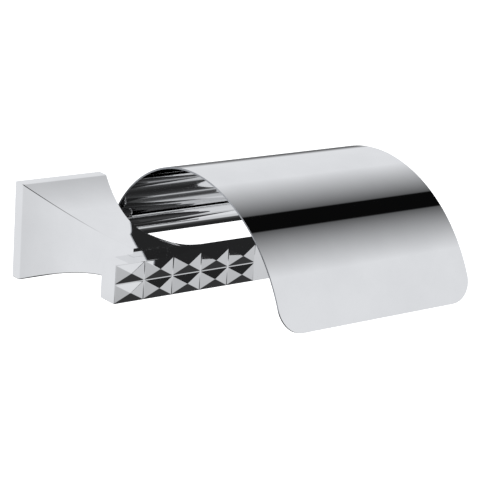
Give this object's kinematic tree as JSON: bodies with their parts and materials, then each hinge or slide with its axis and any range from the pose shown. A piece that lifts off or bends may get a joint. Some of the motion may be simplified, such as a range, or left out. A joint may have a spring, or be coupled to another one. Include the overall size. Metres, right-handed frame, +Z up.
{
  "type": "toilet paper holder",
  "caption": "Wall-mounted toilet paper holder: a flared square post, a roll bar with a crystal-cut front, and a bent sheet hood hinged on a rod.",
  "frame": {"origin": "centre of the wall side of the square flange, on the back face of the wall bracket", "axes": "the wall is the plane Y=0 and +Y points into it; +X runs along the wall towards the hood, +Z is up"},
  "size_m": [0.182, 0.1541, 0.0686],
  "materials": {
    "chrome": "mirror polished plating",
    "polished_sheet": "mirror polished sheet steel",
    "steel": "plain zinc-plated steel",
    "cast_zinc": "as-cast zinc alloy",
    "nylon": "natural moulded nylon",
    "rubber": "matte black rubber"
  },
  "bodies": {
    "wall_frame": {"flange_post": "chrome", "wall_bracket": "cast_zinc", "bracket_grub_screw": "steel", "roll_bar": "chrome", "bar_bolt": "steel", "bar_bolt_washer": "steel", "bar_dowel_left": "steel", "bar_dowel_right": "steel", "hinge_rod": "chrome", "rod_lock_washer": "steel", "rod_nut": "steel", "end_washer": "steel", "rod_end_cap": "chrome", "cap_grub_screw": "steel", "stop_pin": "chrome", "stop_sleeve": "rubber"},
    "hood": {"hood": "polished_sheet", "hinge_bush_left": "nylon", "hinge_bush_right": "nylon"}
  },
  "joints": [
    {"name": "hood_hinge", "type": "hinge", "parent": "wall_frame", "child": "hood", "pos_m": [0, -0.016, -0.0016], "axis": [-1, 0, 0], "range_deg": [0, 50]}
  ]
}
